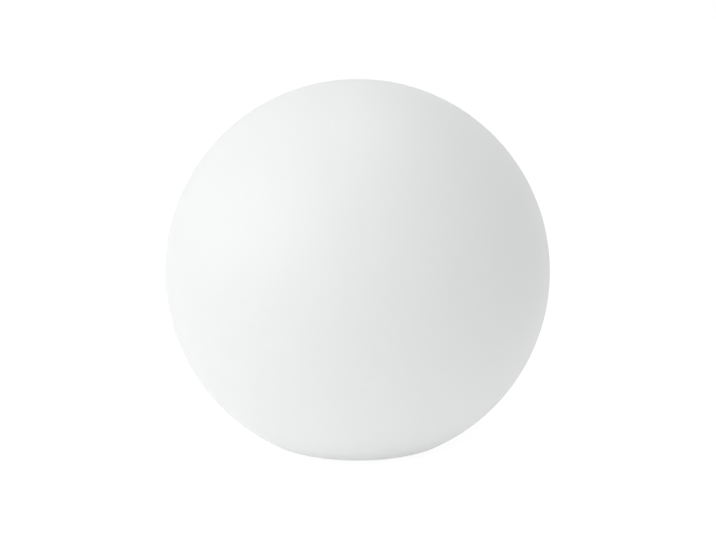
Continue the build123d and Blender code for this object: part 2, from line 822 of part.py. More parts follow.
# LED deck: carrier plate, board, packages with their windows, and remote receiver
deck_room = socket_size[0] + 2 * drop_in_gap
with BuildPart() as led_plate:
    with BuildSketch(Plane.XY.offset(plate_z)):
        Circle(neck_inner - seat_gap)
        with Locations((0, socket_offset)):
            Rectangle(deck_room, socket_size[1] + 2 * drop_in_gap, mode=Mode.SUBTRACT)
        with PolarLocations(column_circle, column_count, start_angle=column_start):
            Circle(screw_shank_radius + close_gap, mode=Mode.SUBTRACT)
        with PolarLocations(led_screw_circle, led_screw_count):
            Circle(screw_hole, mode=Mode.SUBTRACT)
    extrude(amount=plate_thickness)
finish(led_plate.part, "led_plate")

with BuildPart(Plane.XY.offset(plate_top)) as plate_screws:
    with PolarLocations(column_circle, column_count, start_angle=column_start):
        add(plate_screw)
finish(plate_screws.part, "plate_screws")

with BuildPart() as led_board:
    with BuildSketch(Plane.XY.offset(plate_top)):
        Circle(led_board_radius)
        with PolarLocations(led_screw_circle, led_screw_count):
            Circle(screw_shank_radius + close_gap, mode=Mode.SUBTRACT)
    extrude(amount=board_thickness)
finish(led_board.part, "led_board")

with BuildPart(Plane.XY.offset(led_board_top)) as led_screws:
    with PolarLocations(led_screw_circle, led_screw_count):
        add(led_screw)
finish(led_screws.part, "led_screws")

led_top = led_board_top + led_height
with BuildPart() as led_packages:
    with BuildSketch(Plane.XY.offset(led_board_top)):
        with PolarLocations(led_circle, led_count):
            Rectangle(led_size, led_size)
    extrude(amount=led_height)
    with BuildSketch(Plane.XY.offset(led_top)):
        with PolarLocations(led_circle, led_count):
            Circle(led_window_radius)
    extrude(amount=-led_window_depth, mode=Mode.SUBTRACT)
finish(led_packages.part, "led_packages")

with BuildPart() as led_windows:
    with BuildSketch(Plane.XY.offset(led_top - led_window_depth)):
        with PolarLocations(led_circle, led_count):
            Circle(led_window_radius - shaft_gap)
    extrude(amount=led_window_depth - shaft_gap)
finish(led_windows.part, "led_windows")

with BuildPart() as remote_receiver:
    with BuildSketch(Plane.XY.offset(led_board_top)):
        Rectangle(receiver_size[0], receiver_size[1])
    extrude(amount=receiver_size[2])
    with BuildSketch(Plane((0, -receiver_size[1] / 2, led_board_top), z_dir=(0, 0, 1))):
        Circle(receiver_lens_radius)
    extrude(amount=receiver_size[2] - receiver_lens_radius)
    with Locations((0, -receiver_size[1] / 2, led_board_top + receiver_size[2] - receiver_lens_radius)):
        Sphere(receiver_lens_radius)
finish(remote_receiver.part, "remote_receiver")

# Ribbon of wires from the main board's socket up to the LED board's
ribbon_top = plate_top - socket_size[2] - close_gap
ribbon_bottom = board_top + socket_size[2] + close_gap
ribbon_middle = (ribbon_top + ribbon_bottom) / 2
ribbon_bend = (ribbon_top - ribbon_bottom) ** 2 / (8 * ribbon_bow)
ribbon_pitch = 2 * ribbon_radius + ribbon_gap
with BuildPart() as led_ribbon:
    for wire in range(ribbon_count):
        wire_x = (wire - (ribbon_count - 1) / 2) * ribbon_pitch
        with BuildLine() as wire_path:
            FilletPolyline(
                (wire_x, socket_offset, ribbon_bottom),
                (wire_x, socket_offset + ribbon_bow, ribbon_middle),
                (wire_x, socket_offset, ribbon_top),
                radius=ribbon_bend,
            )
        with BuildSketch(Plane(wire_path.line @ 0, z_dir=wire_path.line % 0)):
            Circle(ribbon_radius)
        sweep()
finish(led_ribbon.part, "led_ribbon")

# Clear dome over the LEDs, snapped into the housing on a flat seal
spigot_radius = neck_inner - close_gap
spigot_inner = spigot_radius - dome_wall
spigot_z = dome_rim_z - dome_spigot
with BuildPart() as lens_dome:
    with BuildSketch(Plane.XZ):
        with BuildLine():
            dome_arc(dome_radius, neck_radius)
            Line((0, dome_spring_z + dome_rise), (0, dome_spring_z + dome_rise - dome_wall))
            dome_arc(dome_radius - dome_wall, dome_inner)
            Polyline(
                (dome_inner, dome_spring_z),
                (spigot_inner, dome_spring_z),
                (spigot_inner, spigot_z),
                (spigot_radius, spigot_z),
                (spigot_radius + snap_bead, spigot_z + snap_bead),
                (spigot_radius, spigot_z + 2 * snap_bead),
                (spigot_radius, dome_rim_z),
                (neck_radius, dome_rim_z),
                (neck_radius, dome_spring_z),
            )
        make_face()
    revolve(axis=Axis.Z)
finish(lens_dome.part, "lens_dome")

with BuildPart() as dome_seal:
    with BuildSketch(Plane.XY.offset(dome_seat)):
        Circle(neck_radius)
        Circle(neck_inner, mode=Mode.SUBTRACT)
    extrude(amount=dome_seal_thickness)
finish(dome_seal.part, "dome_seal")
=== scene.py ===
import json
import math

import bmesh
import bpy
from mathutils import Matrix, Vector


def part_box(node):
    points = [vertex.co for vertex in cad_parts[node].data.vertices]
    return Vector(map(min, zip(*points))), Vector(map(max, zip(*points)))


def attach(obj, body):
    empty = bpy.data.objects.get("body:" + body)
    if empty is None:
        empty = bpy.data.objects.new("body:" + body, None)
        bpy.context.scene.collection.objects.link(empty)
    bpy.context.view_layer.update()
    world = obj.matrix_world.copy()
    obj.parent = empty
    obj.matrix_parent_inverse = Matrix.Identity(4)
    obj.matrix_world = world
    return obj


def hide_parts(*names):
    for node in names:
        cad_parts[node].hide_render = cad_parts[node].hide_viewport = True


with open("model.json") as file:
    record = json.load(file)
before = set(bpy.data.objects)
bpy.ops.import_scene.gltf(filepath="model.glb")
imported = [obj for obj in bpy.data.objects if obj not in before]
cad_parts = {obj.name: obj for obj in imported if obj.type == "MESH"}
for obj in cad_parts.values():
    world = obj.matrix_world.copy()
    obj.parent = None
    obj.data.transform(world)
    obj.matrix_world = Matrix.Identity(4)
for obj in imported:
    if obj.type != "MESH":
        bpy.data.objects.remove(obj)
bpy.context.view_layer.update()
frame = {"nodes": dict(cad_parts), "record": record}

# A ball light: a satin white globe that screws onto a rechargeable light unit. Metres, +Z up.

nodes = frame["nodes"]

# The photograph's frame, in its own pixels
IMAGE_WIDTH = 716
IMAGE_HEIGHT = 540
BALL_PIXEL_X = 357.64
BALL_PIXEL_Y = 271.29
BALL_PIXEL_RADIUS = 192.42

# Camera
SENSOR_WIDTH_MM = 36.0
VIEW_ELEVATION = math.radians(12)
VIEW_DISTANCE_IN_RADII = 8.0

# Globe
BALL_RADIUS = 0.150
BALL_CENTRE = Vector((0, 0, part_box("ball_shell")[1].z - BALL_RADIUS))
BASE_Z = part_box("ball_shell")[0].z
SHELL_WALL = 0.003
EDGE_RADIUS = 0.007
RIM_LAND = 0.0028
RECESS_CORNER = 0.0012
DROP_IN_GAP = 0.0004
COLLAR_WALL = 0.0025
MOUTH_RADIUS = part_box("base_housing")[1].x + COLLAR_WALL + 2 * DROP_IN_GAP
RECESS_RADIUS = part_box("thread_collar")[1].x + DROP_IN_GAP
RECESS_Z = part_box("collar_gasket")[1].z
FLAT_RADIUS = RECESS_RADIUS + SHELL_WALL + RIM_LAND
GLOBE_SEGMENTS = 192
SPHERE_STEPS = 96
EDGE_STEPS = 12
CORNER_STEPS = 4

# Moulded bosses inside the globe's base, one for each collar screw
BOSS_COUNT = 6
BOSS_RADIUS = 0.0046
BOSS_CAP = 0.0017
BOSS_SEGMENTS = 32
INSERT_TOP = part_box("collar_inserts")[1]
INSERT_RADIUS = 0.003
INSERT_GAP = 0.00005
INSERT_HEADROOM = 0.0003
BOLT_CIRCLE = INSERT_TOP.x - INSERT_RADIUS

# Screw thread between the globe's collar and the light unit's neck
NECK_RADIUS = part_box("dome_seal")[1].x
THREAD_ROOM = 0.0015
COLLAR_BORE = NECK_RADIUS + THREAD_ROOM
THREAD_PITCH = 0.004
THREAD_TURNS = 2.0
THREAD_START_Z = 0.013
THREAD_DEPTH = 0.0012
THREAD_ROOT = 0.0022
THREAD_CREST = 0.0008
THREAD_FADE_TURNS = 0.12
THREAD_STEPS_PER_TURN = 96
THREAD_SINK = 0.0002

# Small parts on the LED board
LED_COUNT = 12
LED_SIZE = 0.005
LED_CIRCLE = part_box("led_packages")[1].x - LED_SIZE / 2
LED_BOARD_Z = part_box("led_board")[1].z
TERMINAL_SIZE = Vector((0.0007, 0.0009, 0.0003))
TERMINAL_PITCH = 0.0016
TERMINAL_BEVEL = 0.00004
RESISTOR_CIRCLE = 0.0186
RESISTOR_SIZE = Vector((0.0020, 0.00125, 0.0005))
RESISTOR_BEVEL = 0.00005
CAP_LENGTH = 0.00035
CAP_PROUD = 0.00006
CAP_BEVEL = 0.00004
BEVEL_STEPS = 2
BEVEL_PROFILE = 0.6

# Raised mark on the power button: an open ring and a bar
MARK_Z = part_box("power_button")[0].z
MARK_RADIUS = 0.0030
MARK_WIDTH = 0.0007
MARK_HEIGHT = 0.00025
MARK_GAP = math.radians(38)
MARK_STEPS = 48
BAR_START = 0.0010
BAR_END = 0.0040
# Corners of the mark's section, as shares of its width and height; its foot is sunk into the button
MARK_SECTION = ((-0.5, 0.2), (-0.5, -0.7), (-0.35, -1), (0.35, -1), (0.5, -0.7), (0.5, 0.2))

# Centre pin of the charging jack
JACK_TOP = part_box("charge_jack")[1].z
JACK_Y = (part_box("jack_gasket")[0].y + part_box("jack_gasket")[1].y) / 2
JACK_END_WALL = 0.0013
PIN_LENGTH = 0.0033
PIN_RADIUS = 0.00104
PIN_NOSE = 0.0004
# Points of the pin's rounded nose, as shares of its radius and of the nose's height
PIN_NOSE_POINTS = ((1, 1), (0.92, 0.4), (0.6, -0.1), (0, -0.3))
PIN_SEGMENTS = 32

# Edges sharper than these angles stay sharp in smooth shading
SHARP_ANGLE = math.radians(35)
BLOCK_SHARP_ANGLE = math.radians(50)

# Fine grain, gloss and softened edges of moulded and turned parts; noise scales are in cells per metre
BROKEN_EDGE = 0.0002
EDGE_SAMPLES = 4
DRIFT_SCALE = 60.0
GLOSS_SPREAD = 0.12
GRAIN_DETAIL = 2.0
METAL_DRIFT = 0.06
CLEAR_IOR = 1.49

# Sockets of the colour mixing node
MIX_FACTOR = 0
MIX_LOW = 6
MIX_HIGH = 7
MIX_RESULT = 2

# Moulded plastic and rubber, by material slot
PLASTICS = {
    "unit_plastic": dict(colour=(0.72, 0.73, 0.725), roughness=0.45, drift=0.01, grain=2400.0),
    "silicone": dict(colour=(0.36, 0.37, 0.38), roughness=0.62, drift=0.03, grain=1100.0, depth=0.00004),
    "foot_rubber": dict(colour=(0.022, 0.022, 0.024), roughness=0.78, drift=0.1, grain=1300.0, depth=0.00008),
    "button_plastic": dict(colour=(0.045, 0.048, 0.052), roughness=0.42, drift=0.04, grain=2200.0),
    "black_plastic": dict(colour=(0.014, 0.014, 0.016), roughness=0.45, drift=0.08, grain=1900.0),
    "socket_plastic": dict(colour=(0.74, 0.69, 0.53), roughness=0.36),
    "red_lead": dict(colour=(0.4, 0.016, 0.012), roughness=0.4, drift=0.05, grain=1500.0, depth=0.00002),
    "black_lead": dict(colour=(0.012, 0.012, 0.012), roughness=0.4, drift=0.1, grain=1500.0, depth=0.00002),
    "led_body": dict(colour=(0.82, 0.82, 0.79), roughness=0.3, drift=0.01, grain=3000.0, depth=0.00001),
    "led_phosphor": dict(colour=(0.85, 0.66, 0.14), roughness=0.22, drift=0.08, grain=2600.0, depth=0.00002),
}

# Metals, by material slot
METALS = {
    "brass": dict(colour=(0.78, 0.53, 0.2), roughness=0.3),
    "screw_steel": dict(colour=(0.6, 0.6, 0.61), roughness=0.3),
    "nickel": dict(colour=(0.62, 0.58, 0.52), roughness=0.34),
    "deck_metal": dict(colour=(0.7, 0.71, 0.72), roughness=0.42, grain=1400.0, depth=0.00002),
}

# Circuit boards, by material slot; each copper track is a ring with a radius and half its width
BOARDS = {
    "circuit_board": dict(
        mask=(0.006, 0.075, 0.026),
        copper=(0.02, 0.14, 0.05),
        tracks=((0.0215, 0.0005), (0.0232, 0.0004)),
    ),
    "white_board": dict(
        mask=(0.8, 0.8, 0.78),
        copper=(0.7, 0.69, 0.63),
        tracks=((0.0178, 0.0005), (0.0196, 0.0004), (0.0284, 0.0006)),
    ),
}
TRACK_HEIGHT = 0.00004

# Marked ends of the battery cells, and one wire's width of the ribbon
CELL_END_RING = 0.0012
RIBBON_WIRE = 0.0013

# Floor: the share of light and the even glow that it sends to the ball, and those that it shows
FLOOR_SIZE = 16.0
FLOOR_BOUNCE = 0.95
FLOOR_FILL = 0.137
FLOOR_SHADOW = 0.2
FLOOR_GLOW = 0.885

# Surrounding light: its level, and how much that grows along X, Y and Z
WORLD_LEVEL = 0.594
WORLD_TILT = (-0.093, -0.2, 0.081)

# Lamps; azimuth 0 is in front of the ball
LAMP_DISTANCE = 1.9
LAMPS = {
    "softbox": dict(azimuth=math.radians(-60), elevation=math.radians(30), size=1.8, watts=11.61),
    "top_lamp": dict(azimuth=0.0, elevation=math.radians(85), size=1.4, watts=3.32),
    "back_lamp": dict(azimuth=math.radians(180), elevation=math.radians(70), size=0.9, watts=1.16),
}


# Meshes

def mesh_from(name, points, faces):
    """A smooth mesh with outward faces and sharp edges."""
    mesh = bpy.data.meshes.new(name)
    mesh.from_pydata(points, [], faces)
    work = bmesh.new()
    work.from_mesh(mesh)
    bmesh.ops.recalc_face_normals(work, faces=work.faces)
    work.to_mesh(mesh)
    work.free()
    return smoothed(mesh, SHARP_ANGLE)


def smoothed(mesh, sharp_angle):
    """Shade a mesh smooth, apart from its sharp edges."""
    mesh.polygons.foreach_set("use_smooth", [True] * len(mesh.polygons))
    mesh.set_sharp_from_angle(angle=sharp_angle)
    return mesh


def add_piece(name, mesh, body, material):
    """Put a finished mesh in the scene, on its body and with its finish."""
    piece = bpy.data.objects.new(name, mesh)
    bpy.context.scene.collection.objects.link(piece)
    mesh.materials.clear()
    mesh.materials.append(material)
    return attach(piece, body)


def on_ring(radius, angle):
    """X and Y of a point on a circle about the origin."""
    return radius * math.cos(angle), radius * math.sin(angle)


def lathe(name, profile, segments, middle=(0, 0)):
    """A solid of revolution about a vertical axis, from an outline that starts and ends on that axis."""
    points = []
    rings = []
    for radius, height in profile:
        count = segments if radius > 0 else 1
        rings.append([len(points) + step for step in range(count)])
        for step in range(count):
            across, along = on_ring(radius, 2 * math.pi * step / segments)
            points.append((middle[0] + across, middle[1] + along, height))
    faces = []
    for upper, lower in zip(rings, rings[1:]):
        for step in range(segments):
            beside = (step + 1) % segments
            corners = [upper[step % len(upper)], upper[beside % len(upper)]]
            corners += [lower[beside % len(lower)], lower[step % len(lower)]]
            faces.append(tuple(dict.fromkeys(corners)))
    return mesh_from(name, points, faces)


def arc(middle, radius, start, stop, steps):
    """Points along an arc of an outline, ends included."""
    angles = [start + (stop - start) * step / steps for step in range(steps + 1)]
    return [middle + radius * Vector((math.cos(angle), math.sin(angle))) for angle in angles]


def rounded_corner(before, corner, after, radius, steps):
    """Points of the arc that rounds a square corner of an outline."""
    inward = (before - corner).normalized()
    onward = (after - corner).normalized()
    middle = corner + radius * (inward + onward)
    turns = [math.pi / 2 * step / steps for step in range(steps + 1)]
    return [middle - radius * (onward * math.cos(turn) + inward * math.sin(turn)) for turn in turns]


def shell_line(inset):
    """Half section of the globe at a depth below its outer face, from the top to the mouth."""
    middle = Vector((0, BALL_CENTRE.z))
    edge_middle = Vector((FLAT_RADIUS, BASE_Z + EDGE_RADIUS))
    reach = edge_middle - middle
    turn = math.atan2(reach.y, reach.x)
    flat = Vector((FLAT_RADIUS, BASE_Z + inset))
    foot = Vector((RECESS_RADIUS + inset, BASE_Z + inset))
    roof = Vector((RECESS_RADIUS + inset, RECESS_Z + inset))
    mouth = Vector((MOUTH_RADIUS, RECESS_Z + inset))
    line = arc(middle, BALL_RADIUS - inset, math.pi / 2, turn, SPHERE_STEPS)
    line[0].x = 0
    line += arc(edge_middle, EDGE_RADIUS - inset, turn, -math.pi / 2, EDGE_STEPS)[1:]
    line += rounded_corner(flat, foot, roof, RECESS_CORNER, CORNER_STEPS)
    line += rounded_corner(foot, roof, mouth, RECESS_CORNER, CORNER_STEPS)
    return line + [mouth]


def combined(mesh, cutter, operation):
    """The mesh joined with, or cut by, another closed mesh."""
    target = bpy.data.objects.new("target", mesh)
    tool = bpy.data.objects.new("tool", cutter)
    for helper in (target, tool):
        bpy.context.scene.collection.objects.link(helper)
    step = target.modifiers.new("boolean", "BOOLEAN")
    step.operation = operation
    step.solver = "EXACT"
    step.object = tool
    graph = bpy.context.evaluated_depsgraph_get()
    result = bpy.data.meshes.new_from_object(target.evaluated_get(graph))
    for helper in (target, tool):
        bpy.data.objects.remove(helper)
    return result


def globe_mesh():
    """The moulded globe: a thin shell with a recessed mouth and six bosses inside its base."""
    profile = shell_line(0) + shell_line(SHELL_WALL)[::-1]
    mesh = lathe("globe_moulding", profile, GLOBE_SEGMENTS)
    inside_wall = RECESS_Z + SHELL_WALL / 2
    below = RECESS_Z - SHELL_WALL
    bore_top = INSERT_TOP.z + INSERT_HEADROOM
    boss_top = bore_top + BOSS_CAP
    hole = INSERT_RADIUS + INSERT_GAP
    boss = [(0, inside_wall), (BOSS_RADIUS, inside_wall), (BOSS_RADIUS, boss_top), (0, boss_top)]
    bore = [(0, below), (hole, below), (hole, bore_top), (0, bore_top)]
    for index in range(BOSS_COUNT):
        middle = on_ring(BOLT_CIRCLE, 2 * math.pi * index / BOSS_COUNT)
        mesh = combined(mesh, lathe("boss", boss, BOSS_SEGMENTS, middle), "UNION")
        mesh = combined(mesh, lathe("bore", bore, BOSS_SEGMENTS, middle), "DIFFERENCE")
    return smoothed(mesh, SHARP_ANGLE)


def thread_section(depth):
    """Corners of a thread ridge: height above the cylinder and offset along it."""
    return (
        (-THREAD_SINK, -THREAD_ROOT / 2),
        (depth, -THREAD_CREST / 2),
        (depth, THREAD_CREST / 2),
        (-THREAD_SINK, THREAD_ROOT / 2),
    )


def helix_ridge(name, base_radius, direction, start_turn):
    """A helical thread ridge on a cylinder; direction is 1 outward or -1 inward."""
    steps = round(THREAD_TURNS * THREAD_STEPS_PER_TURN)
    points = []
    for step in range(steps + 1):
        turn = step / THREAD_STEPS_PER_TURN
        fade = min(1.0, turn / THREAD_FADE_TURNS, (THREAD_TURNS - turn) / THREAD_FADE_TURNS)
        depth = THREAD_DEPTH * math.sin(math.pi / 2 * fade)
        angle = 2 * math.pi * (turn + start_turn)
        middle = THREAD_START_Z + THREAD_PITCH * turn
        for height, offset in thread_section(depth):
            points.append((*on_ring(base_radius + direction * height, angle), middle + offset))
    return mesh_from(name, points, tube_faces(steps, len(thread_section(THREAD_DEPTH))))


def tube_faces(steps, sides):
    """Faces of a tube of repeated sections, closed at both ends."""
    faces = []
    for step in range(steps):
        for side in range(sides):
            beside = (side + 1) % sides
            here = sides * step
            faces.append((here + side, here + beside, here + sides + beside, here + sides + side))
    faces.append(tuple(range(sides)))
    faces.append(tuple(sides * steps + side for side in range(sides)))
    return faces


def mark_band(path):
    """Points and faces of a flat raised band along a path, hanging below the button's face."""
    points = []
    for index, here in enumerate(path):
        ahead = path[min(index + 1, len(path) - 1)]
        behind = path[max(index - 1, 0)]
        along = (ahead - behind).normalized()
        across = Vector((-along.y, along.x))
        for side, drop in MARK_SECTION:
            spot = here + across * side * MARK_WIDTH
            points.append((spot.x, spot.y, MARK_Z + drop * MARK_HEIGHT))
    return points, tube_faces(len(path) - 1, len(MARK_SECTION))


def power_mark():
    """An open ring with a bar through its gap, raised on the button's face."""
    start = math.pi / 2 + MARK_GAP
    ring = arc(Vector((0, 0)), MARK_RADIUS, start, start + 2 * (math.pi - MARK_GAP), MARK_STEPS)
    bar = [Vector((0, BAR_START)), Vector((0, BAR_END))]
    points, faces = mark_band(ring)
    bar_points, bar_faces = mark_band(bar)
    faces += [tuple(corner + len(points) for corner in face) for face in bar_faces]
    return mesh_from("power_mark", points + bar_points, faces)


def jack_pin():
    """A plated pin with a rounded nose, standing on the end wall of the jack's bore."""
    root = JACK_TOP - JACK_END_WALL
    nose = root - PIN_LENGTH
    profile = [(0, root), (PIN_RADIUS, root)]
    profile += [(PIN_RADIUS * out, nose + PIN_NOSE * up) for out, up in PIN_NOSE_POINTS]
    return lathe("jack_pin", profile, PIN_SEGMENTS, (0, JACK_Y))


def blocks(name, size, places, bevel):
    """Bevelled blocks of one size at several places, as one mesh."""
    work = bmesh.new()
    for place in places:
        made = bmesh.ops.create_cube(work, size=1.0, matrix=place @ Matrix.Diagonal((*size, 1)))
        edges = list({edge for corner in made["verts"] for edge in corner.link_edges})
        bmesh.ops.bevel(
            work, geom=edges, offset=bevel, segments=BEVEL_STEPS, affect="EDGES", profile=BEVEL_PROFILE
        )
    mesh = bpy.data.meshes.new(name)
    work.to_mesh(mesh)
    work.free()
    return smoothed(mesh, BLOCK_SHARP_ANGLE)


def on_circle(angle, radius, sideways, height):
    """A place on a circle about Z: its X points outward."""
    turn = Matrix.Rotation(angle, 4, "Z")
    return turn @ Matrix.Translation((radius, sideways, height))


def terminal_places():
    """Solder terminals on the two flanks of each LED package."""
    places = []
    for index in range(LED_COUNT):
        angle = 2 * math.pi * index / LED_COUNT
        for flank in (-1, 1):
            for row in (-1, 0, 1):
                sideways = flank * (LED_SIZE / 2 + TERMINAL_SIZE.y / 4)
                radius = LED_CIRCLE + row * TERMINAL_PITCH
                places.append(on_circle(angle, radius, sideways, LED_BOARD_Z + TERMINAL_SIZE.z / 2))
    return places


def resistor_places(sideways):
    """One resistor between each pair of LEDs."""
    height = LED_BOARD_Z + RESISTOR_SIZE.z / 2
    angles = [2 * math.pi * (index + 0.5) / LED_COUNT for index in range(LED_COUNT)]
    quarter = Matrix.Rotation(math.pi / 2, 4, "Z")
    return [on_circle(angle, RESISTOR_CIRCLE, sideways, height) @ quarter for angle in angles]


# Materials

def add_node(tree, kind, inputs=None, **settings):
    """A shader node with its settings, and its inputs set or linked."""
    made = tree.nodes.new(kind)
    for key, value in settings.items():
        setattr(made, key, value)
    for key, value in (inputs or {}).items():
        if isinstance(value, bpy.types.NodeSocket):
            tree.links.new(value, made.inputs[key])
        else:
            made.inputs[key].default_value = value
    return made


def new_material(name):
    """A material with its node tree and its main shader."""
    made = bpy.data.materials.new(name)
    made.use_nodes = True
    return made, made.node_tree, made.node_tree.nodes["Principled BSDF"]


def set_inputs(main, values):
    """Set plain values on a shader's own sockets."""
    for key, value in values.items():
        main.inputs[key].default_value = value


def place_of(tree):
    """The object's own coordinates, in metres."""
    return add_node(tree, "ShaderNodeTexCoord").outputs["Object"]


def noise(tree, scale, detail=3.0):
    """Noise with scale in cells per metre."""
    inputs = {"Vector": place_of(tree), "Scale": scale, "Detail": detail}
    return add_node(tree, "ShaderNodeTexNoise", inputs).outputs["Fac"]


def math_node(tree, operation, first, second):
    """A value worked out from two others."""
    return add_node(tree, "ShaderNodeMath", {0: first, 1: second}, operation=operation).outputs[0]


def opaque(colour):
    """A colour with full alpha; a linked colour stays as it is."""
    return colour if isinstance(colour, bpy.types.NodeSocket) else (*colour, 1)


def tones(tree, value, low, high):
    """Colour between two others, driven by a value from 0 to 1."""
    inputs = {MIX_FACTOR: value, MIX_LOW: opaque(low), MIX_HIGH: opaque(high)}
    return add_node(tree, "ShaderNodeMix", inputs, data_type="RGBA").outputs[MIX_RESULT]


def shaded(colour, factor):
    """A colour made lighter or darker."""
    return tuple(min(1.0, channel * factor) for channel in colour)


def drifting(tree, colour, drift, scale):
    """A colour that wanders a little lighter and darker over the surface."""
    return tones(tree, noise(tree, scale), shaded(colour, 1 - drift), shaded(colour, 1 + drift))


def uneven_gloss(tree, main, value, roughness, spread):
    """Roughness that follows a value from 0 to 1, by a share to either side."""
    inputs = {"Value": value, "To Min": roughness * (1 - spread), "To Max": roughness * (1 + spread)}
    ranged = add_node(tree, "ShaderNodeMapRange", inputs)
    tree.links.new(ranged.outputs["Result"], main.inputs["Roughness"])


def grained(tree, main, scale, depth, roughness, edge=0.0):
    """Fine grain: relief on the surface, gloss that follows it, and softly broken edges."""
    grain = noise(tree, scale, GRAIN_DETAIL)
    uneven_gloss(tree, main, grain, roughness, GLOSS_SPREAD)
    relief = {"Height": grain, "Strength": 1.0, "Distance": depth}
    if edge:
        broken = add_node(tree, "ShaderNodeBevel", {"Radius": edge}, samples=EDGE_SAMPLES)
        relief["Normal"] = broken.outputs["Normal"]
    raised = add_node(tree, "ShaderNodeBump", relief)
    tree.links.new(raised.outputs["Normal"], main.inputs["Normal"])


def moulded(name, colour, roughness, drift=0.012, grain=1600.0, depth=0.00003):
    """Moulded plastic or rubber: a colour that drifts slightly, uneven gloss and a fine grain."""
    made, tree, main = new_material(name)
    tree.links.new(drifting(tree, colour, drift, DRIFT_SCALE), main.inputs["Base Color"])
    grained(tree, main, grain, depth, roughness, BROKEN_EDGE)
    return made


def metal(name, colour, roughness, grain=2500.0, depth=0.000015):
    """Metal with small marks and uneven polish."""
    made = moulded(name, colour, roughness, METAL_DRIFT, grain, depth)
    set_inputs(made.node_tree.nodes["Principled BSDF"], {"Metallic": 1.0})
    return made


def globe_finish():
    """Satin polyethylene: slightly milky, with the faint orange peel of a moulded skin."""
    made, tree, main = new_material("globe_satin")
    colour = drifting(tree, (0.887, 0.901, 0.897), drift=0.006, scale=14.0)
    tree.links.new(colour, main.inputs["Base Color"])
    milky = {
        "Specular IOR Level": 0.35,
        "Subsurface Weight": 1.0,
        "Subsurface Radius": (1.0, 0.98, 0.96),
        "Subsurface Scale": 0.005,
    }
    set_inputs(main, milky)
    grained(tree, main, scale=420.0, depth=0.00003, roughness=0.4)
    return made


def clear_finish():
    """Clear moulded plastic with a slightly uneven polish."""
    made, tree, main = new_material("clear_plastic")
    colour = tones(tree, noise(tree, 90.0), (0.95, 0.965, 0.97), (0.985, 0.99, 0.99))
    tree.links.new(colour, main.inputs["Base Color"])
    set_inputs(main, {"Transmission Weight": 1.0, "IOR": CLEAR_IOR})
    uneven_gloss(tree, main, noise(tree, 300.0), roughness=0.035, spread=0.4)
    return made


def frosted_finish():
    """Milky clear plastic that spreads the indicator's light."""
    made = moulded("frosted_plastic", colour=(0.8, 0.82, 0.83), roughness=0.5)
    set_inputs(made.node_tree.nodes["Principled BSDF"], {"Transmission Weight": 0.3, "IOR": CLEAR_IOR})
    return made


def distance_from_axis(tree):
    """Distance of a point from the Z axis, in metres."""
    flat = add_node(tree, "ShaderNodeVectorMath", {0: place_of(tree), 1: (1, 1, 0)}, operation="MULTIPLY")
    return add_node(tree, "ShaderNodeVectorMath", {0: flat.outputs[0]}, operation="LENGTH").outputs["Value"]


def ring_mask(tree, distance, middle, half_width):
    """1 on a ring about the axis, 0 elsewhere."""
    away = math_node(tree, "ABSOLUTE", math_node(tree, "SUBTRACT", distance, middle), 0.0)
    return math_node(tree, "LESS_THAN", away, half_width)


def board_finish(name, mask, copper, tracks):
    """Solder mask over copper rings that show in another tone."""
    made, tree, main = new_material(name)
    distance = distance_from_axis(tree)
    on_track = ring_mask(tree, distance, *tracks[0])
    for track in tracks[1:]:
        on_track = math_node(tree, "MAXIMUM", on_track, ring_mask(tree, distance, *track))
    plain = drifting(tree, mask, drift=0.04, scale=120.0)
    tree.links.new(tones(tree, on_track, plain, copper), main.inputs["Base Color"])
    set_inputs(main, {"Roughness": 0.38})
    relief = {"Height": on_track, "Strength": 1.0, "Distance": TRACK_HEIGHT}
    raised = add_node(tree, "ShaderNodeBump", relief)
    tree.links.new(raised.outputs["Normal"], main.inputs["Normal"])
    return made


def x_of(tree):
    """X of a point, in metres."""
    return add_node(tree, "ShaderNodeSeparateXYZ", {0: place_of(tree)}).outputs["X"]


def cell_finish():
    """Shrink wrap with a pale insulating ring at both ends of each cell."""
    made, tree, main = new_material("cell_wrap")
    half_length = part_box("battery_cells")[1].x
    from_middle = math_node(tree, "ABSOLUTE", x_of(tree), 0.0)
    ends = math_node(tree, "GREATER_THAN", from_middle, half_length - CELL_END_RING)
    wrap = tones(tree, noise(tree, 150.0), (0.02, 0.115, 0.24), (0.028, 0.135, 0.27))
    tree.links.new(tones(tree, ends, wrap, (0.75, 0.75, 0.72)), main.inputs["Base Color"])
    grained(tree, main, scale=900.0, depth=0.00002, roughness=0.28)
    return made


def ribbon_finish():
    """Grey insulation, with one red wire that marks the ribbon's first way."""
    made, tree, main = new_material("ribbon_insulation")
    first = math_node(tree, "LESS_THAN", x_of(tree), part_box("led_ribbon")[0].x + RIBBON_WIRE)
    grey = tones(tree, noise(tree, 200.0), (0.42, 0.42, 0.44), (0.48, 0.48, 0.5))
    tree.links.new(tones(tree, first, grey, (0.5, 0.03, 0.025)), main.inputs["Base Color"])
    grained(tree, main, scale=1500.0, depth=0.00002, roughness=0.42)
    return made


def slot_finishes():
    """One finish for each material slot of the CAD nodes."""
    made = {slot: moulded(slot, **look) for slot, look in PLASTICS.items()}
    made |= {slot: metal(slot, **look) for slot, look in METALS.items()}
    made |= {slot: board_finish(slot, **look) for slot, look in BOARDS.items()}
    made["globe_plastic"] = globe_finish()
    made["clear_plastic"] = clear_finish()
    made["cell_wrap"] = cell_finish()
    made["grey_lead"] = ribbon_finish()
    return made


# Stage, light and camera

